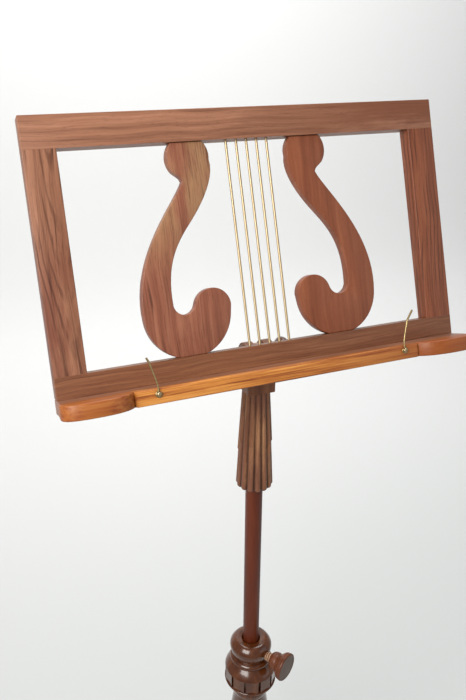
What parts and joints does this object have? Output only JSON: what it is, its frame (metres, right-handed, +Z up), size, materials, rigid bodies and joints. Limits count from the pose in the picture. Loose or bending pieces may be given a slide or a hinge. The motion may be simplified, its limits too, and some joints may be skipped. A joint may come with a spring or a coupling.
{
  "type": "music stand",
  "caption": "Wooden music stand: a lyre desk with strings and page holders tilts in a yoke on a rod that a screw clamps in a turned tripod post.",
  "frame": {"origin": "centre of the stand's whole box, on the floor", "axes": "+Z up, the desk faces -Y, +X to the right of someone facing the desk; the post's axis is 57.7 mm behind the origin"},
  "size_m": [0.512, 0.3876, 1.3173],
  "materials": {
    "desk_wood": "satin lacquer, reddish brown",
    "ledge_wood": "satin lacquer, orange brown",
    "turned_wood": "gloss lacquer, dark brown",
    "stem_wood": "satin lacquer, dark brown",
    "brass": "polished",
    "leather": "matte",
    "felt": "matte"
  },
  "bodies": {
    "base": {"column": "turned_wood", "post_head": "turned_wood", "finial": "turned_wood", "leg_front": "turned_wood", "leg_right": "turned_wood", "leg_left": "turned_wood", "leg_dowel_front": "turned_wood", "leg_dowel_right": "turned_wood", "leg_dowel_left": "turned_wood", "foot_pad_front": "felt", "foot_pad_right": "felt", "foot_pad_left": "felt"},
    "rod_guide": {"rod_guide_ring": "leather"},
    "mast": {"rod": "stem_wood", "rod_end_screw": "brass", "neck": "stem_wood", "yoke": "stem_wood", "tilt_bolt": "brass"},
    "tilt_washer": {"tilt_washer": "brass"},
    "tilt_knob": {"tilt_knob": "turned_wood"},
    "desk": {"top_rail": "desk_wood", "bottom_rail": "desk_wood", "left_stile": "desk_wood", "right_stile": "desk_wood", "left_scroll": "desk_wood", "right_scroll": "desk_wood", "string_1": "brass", "string_2": "brass", "string_3": "brass", "string_4": "brass", "string_5": "brass", "ledge": "ledge_wood", "tongue_plate": "desk_wood", "desk_tongue": "desk_wood", "ledge_screw_1": "brass", "ledge_screw_2": "brass", "ledge_screw_3": "brass", "ledge_screw_4": "brass", "bracket_screw_1": "brass", "bracket_screw_2": "brass", "bracket_screw_3": "brass", "bracket_screw_4": "brass", "holder_screw_left": "brass", "holder_screw_right": "brass"},
    "holder_left": {"page_holder_left": "brass"},
    "holder_right": {"page_holder_right": "brass"},
    "clamp_pad": {"clamp_pad": "leather"},
    "clamp_screw": {"clamp_screw": "turned_wood"}
  },
  "joints": [
    {"name": "height_slide", "type": "slide", "parent": "base", "child": "rod_guide", "axis": [0, 0, 1], "range_m": [-0.21, 0.17]},
    {"name": "mast_swivel", "type": "hinge", "parent": "rod_guide", "child": "mast", "pos_m": [0, 0.0577, 0.34], "axis": [0, 0, 1], "continuous": true},
    {"name": "desk_tilt", "type": "hinge", "parent": "mast", "child": "desk", "pos_m": [0, 0.0577, 1.029], "axis": [-1, 0, 0], "range_deg": [-13.7, 66.3]},
    {"name": "tilt_washer_slide", "type": "slide", "parent": "mast", "child": "tilt_washer", "axis": [1, 0, 0], "range_m": [0, 0.0015]},
    {"name": "tilt_knob_turn", "type": "hinge", "parent": "tilt_washer", "child": "tilt_knob", "pos_m": [0.03, 0.0577, 1.029], "axis": [1, 0, 0], "range_deg": [0, 360]},
    {"name": "clamp_pad_slide", "type": "slide", "parent": "base", "child": "clamp_pad", "axis": [0.4848, -0.8746, 0], "range_m": [0, 0.0032]},
    {"name": "clamp_screw_turn", "type": "hinge", "parent": "clamp_pad", "child": "clamp_screw", "pos_m": [0.01939, 0.02271, 0.557], "axis": [0.4848, -0.8746, 0], "range_deg": [0, 360]},
    {"name": "holder_left_swing", "type": "hinge", "parent": "desk", "child": "holder_left", "pos_m": [-0.152, -0.02377, 1.04095], "axis": [0, -0.9472, 0.3206], "range_deg": [-25, 58]},
    {"name": "holder_right_swing", "type": "hinge", "parent": "desk", "child": "holder_right", "pos_m": [0.157, -0.02377, 1.04095], "axis": [0, 0.9472, -0.3206], "range_deg": [-25, 58]}
  ],
  "couplings": [
    {"joint": "tilt_washer_slide", "follows": "tilt_knob_turn", "m_per_rad": 0.00019894},
    {"joint": "clamp_pad_slide", "follows": "clamp_screw_turn", "m_per_rad": 0.0005093}
  ]
}
